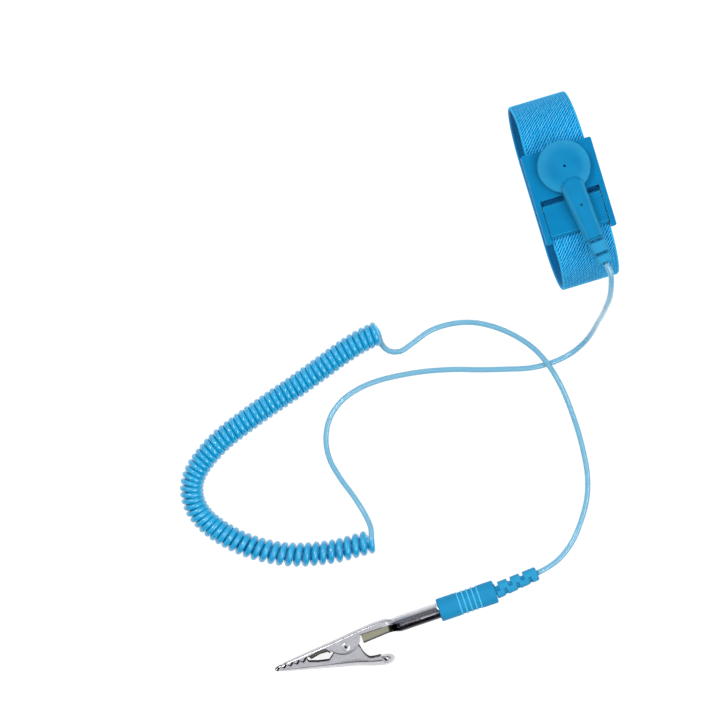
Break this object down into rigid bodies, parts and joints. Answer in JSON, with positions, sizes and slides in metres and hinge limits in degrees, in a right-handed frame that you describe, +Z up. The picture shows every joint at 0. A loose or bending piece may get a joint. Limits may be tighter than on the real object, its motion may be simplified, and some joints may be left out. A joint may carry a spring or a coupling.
{
  "type": "esd wrist strap",
  "caption": "Elastic wrist band with a snap buckle, a swivelling snap plug, a thin curly lead and a sprung jaw clip on a banana plug.",
  "frame": {"origin": "under the middle of the wrist loop, on the surface that the loop stands on", "axes": "+Z up through the buckle's face, +X along the wrist through the loop, +Y along the length of the buckle towards its snap end"},
  "size_m": [0.1555, 0.1591, 0.052],
  "materials": {
    "knit_band": "elastic knit, matt with a slight sheen",
    "blue_plastic": "moulded, satin gloss",
    "lead_jacket": "smooth extruded jacket, glossy",
    "contact_steel": "brushed stainless steel",
    "snap_nickel": "nickel plated brass",
    "clip_nickel": "nickel plated stamped steel",
    "pin_nickel": "dark nickel plating",
    "resistor_body": "lacquered resistor body"
  },
  "bodies": {
    "wristband": {"band": "knit_band", "buckle_plate": "blue_plastic", "contact_plate": "contact_steel", "snap_stud": "snap_nickel", "stud_eyelet": "snap_nickel", "flap_hinge_pin": "contact_steel"},
    "flap": {"lock_flap": "blue_plastic"},
    "snap_spring": {"socket_spring": "snap_nickel"},
    "lead": {"snap_socket": "snap_nickel", "socket_lug": "pin_nickel", "plug_housing": "blue_plastic", "plug_strain_relief": "blue_plastic", "resistor": "resistor_body", "resistor_leads": "snap_nickel", "crimp_ferrule": "pin_nickel", "cord_plug_end": "lead_jacket", "cord_coil": "lead_jacket", "cord_clip_end": "lead_jacket", "clip_strain_relief": "blue_plastic", "banana_sleeve": "blue_plastic", "banana_pin": "pin_nickel"},
    "cage": {"banana_spring": "snap_nickel"},
    "clip": {"clip_upper_jaw": "clip_nickel", "clip_pivot_rivet": "clip_nickel", "clip_spring": "contact_steel"},
    "jaw": {"clip_lower_jaw": "clip_nickel"}
  },
  "joints": [
    {"name": "flap_lift", "type": "hinge", "parent": "wristband", "child": "flap", "pos_m": [0, -0.005, 0.04475], "axis": [-1, 0, 0], "range_deg": [0, 8]},
    {"name": "plug_unsnap", "type": "slide", "parent": "wristband", "child": "snap_spring", "axis": [0, 0, 1], "range_m": [0, 0.006]},
    {"name": "plug_swivel", "type": "hinge", "parent": "snap_spring", "child": "lead", "pos_m": [0, 0.0062, 0.0478], "axis": [0, 0, 1], "continuous": true},
    {"name": "clip_spin", "type": "hinge", "parent": "lead", "child": "cage", "pos_m": [-0.08099, -0.11727, 0.0038], "axis": [-0.9994, -0.0349, 0], "continuous": true},
    {"name": "clip_pull_off", "type": "slide", "parent": "cage", "child": "clip", "axis": [-0.9994, -0.0349, 0], "range_m": [0, 0.018]},
    {"name": "jaw_open", "type": "hinge", "parent": "clip", "child": "jaw", "pos_m": [-0.10712, -0.11949, 0.0038], "axis": [0, 0, 1], "range_deg": [0, 22], "stiffness_Nm_per_rad": 0.02, "springref_deg": -22.92, "deforming": ["clip_spring"]}
  ]
}
